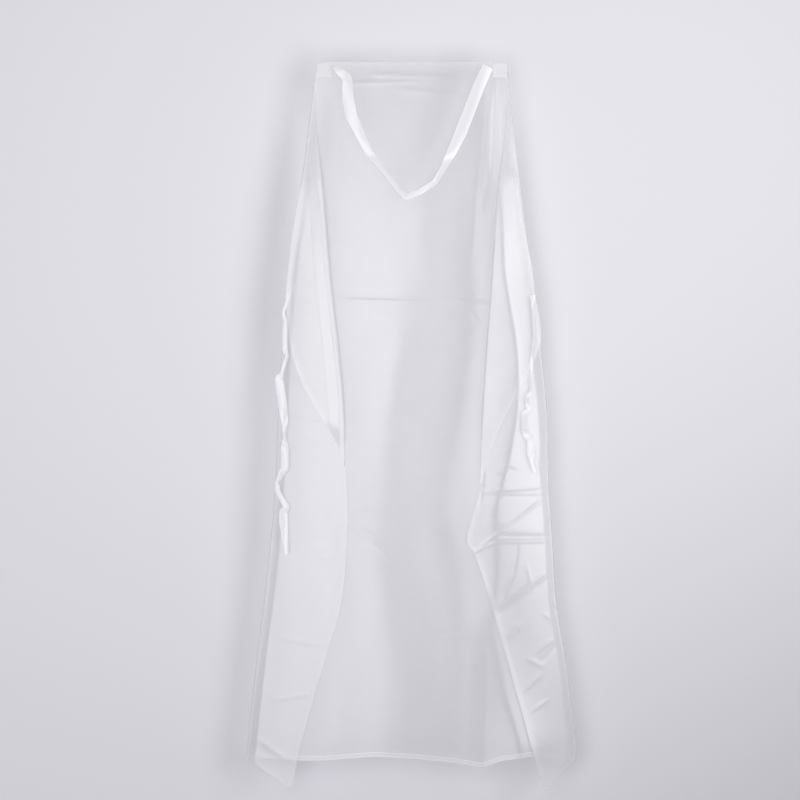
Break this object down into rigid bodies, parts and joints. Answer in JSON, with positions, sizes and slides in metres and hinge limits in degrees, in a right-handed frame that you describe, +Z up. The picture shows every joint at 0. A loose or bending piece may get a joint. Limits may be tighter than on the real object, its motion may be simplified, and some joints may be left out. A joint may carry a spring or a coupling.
{
  "type": "film apron",
  "caption": "Full-length bib apron of clear waterproof film with hemmed edges, a neck strap and waist ties, hanging by its top corners with both wings folded in front.",
  "frame": {"origin": "middle of the bib's top edge, midway between the two corners that a clip hanger holds", "axes": "+Z up the apron, the front faces -Y, and +X is towards the right wing as seen from the front"},
  "size_m": [0.5185, 0.0301, 1.141],
  "materials": {
    "film": "satin, frosted clear film",
    "hem": "satin, doubled film",
    "ribbon": "satin, doubled film ribbon"
  },
  "bodies": {
    "bib": {"front_panel": "film", "top_hem": "hem", "bottom_hem": "hem", "left_strap_tab": "ribbon", "right_strap_tab": "ribbon"},
    "neck_loop": {"neck_strap": "ribbon"},
    "left_wing": {"left_wing_inner": "film", "left_wing_outer": "film", "left_armhole_hem": "hem", "left_waist_hem": "hem", "left_side_hem": "hem", "left_wing_bottom_hem": "hem", "left_tie_tab": "ribbon"},
    "left_tie": {"left_tie": "ribbon"},
    "right_wing": {"right_wing_inner": "film", "right_wing_outer": "film", "right_armhole_hem": "hem", "right_waist_hem": "hem", "right_side_hem": "hem", "right_wing_bottom_hem": "hem", "right_tie_tab": "ribbon"},
    "right_tie": {"right_tie": "ribbon"}
  },
  "joints": [
    {"name": "neck_loop_lift", "type": "hinge", "parent": "bib", "child": "neck_loop", "pos_m": [0, -0.008, -0.013], "axis": [-1, 0, 0], "range_deg": [0, 175]},
    {"name": "left_wing_fold", "type": "hinge", "parent": "bib", "child": "left_wing", "pos_m": [-0.151, 0, -0.025], "axis": [-0.1021, 0, -0.9948], "range_deg": [0, 150]},
    {"name": "right_wing_fold", "type": "hinge", "parent": "bib", "child": "right_wing", "pos_m": [0.153, 0, -0.025], "axis": [-0.0989, 0, 0.9951], "range_deg": [0, 150]},
    {"name": "left_tie_swing", "type": "hinge", "parent": "left_wing", "child": "left_tie", "pos_m": [-0.196, -0.015, -0.368], "axis": [0, 1, 0], "range_deg": [0, 90]},
    {"name": "right_tie_swing", "type": "hinge", "parent": "right_wing", "child": "right_tie", "pos_m": [0.185, -0.016, -0.376], "axis": [0, -1, 0], "range_deg": [0, 90]}
  ]
}
